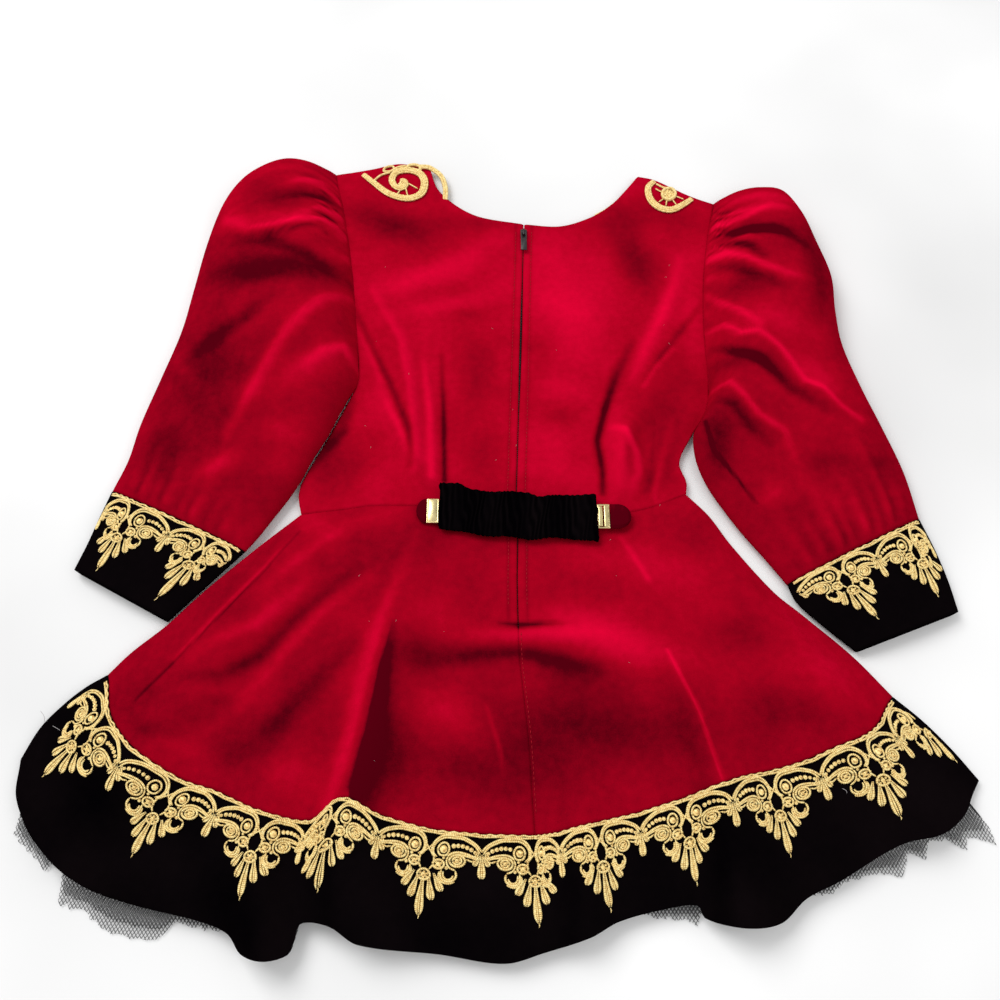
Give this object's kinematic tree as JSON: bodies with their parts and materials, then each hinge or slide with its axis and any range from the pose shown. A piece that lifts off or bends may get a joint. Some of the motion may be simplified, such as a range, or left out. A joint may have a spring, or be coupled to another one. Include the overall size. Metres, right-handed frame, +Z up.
{
  "type": "lace dress",
  "caption": "Girl's red velvet party dress laid flat, back up, with puffed sleeves, black hem band and cuffs, gold lace, ruched back belt and centre back zip.",
  "frame": {"origin": "centre of the bounding box, on the surface that the dress lies on", "axes": "+Z up from that surface, +Y toward the neck, +X to the right as its back is looked at"},
  "size_m": [0.629, 0.6288, 0.035],
  "materials": {
    "red_velvet": "velvet",
    "black_velvet": "velvet",
    "gold_lace": "metallic thread",
    "gold_metal": "polished",
    "black_net": "net",
    "black_plastic": "satin"
  },
  "bodies": {
    "dress": {"bodice_front": "red_velvet", "bodice_back_left": "red_velvet", "bodice_back_right": "red_velvet", "skirt_front": "red_velvet", "skirt_back_left": "red_velvet", "skirt_back_right": "red_velvet", "hem_band_front": "black_velvet", "hem_band_back": "black_velvet", "petticoat": "black_net", "sleeve_left": "red_velvet", "sleeve_right": "red_velvet", "cuff_left": "black_velvet", "cuff_right": "black_velvet", "hem_lace": "gold_lace", "cuff_lace_left": "gold_lace", "cuff_lace_right": "gold_lace", "applique_left": "gold_lace", "applique_right": "gold_lace", "belt": "black_velvet", "belt_clip_left": "gold_metal", "belt_clip_right": "gold_metal", "belt_tab_left": "red_velvet", "belt_tab_right": "red_velvet", "zip_tape": "black_plastic", "zip_slider": "black_plastic"},
    "pull": {"zip_pull": "black_plastic"}
  },
  "joints": [
    {"name": "zip_pull_hinge", "type": "hinge", "parent": "dress", "child": "pull", "pos_m": [0.01713, 0.23444, 0.0086], "axis": [-1, 0, 0], "range_deg": [0, 175]}
  ]
}
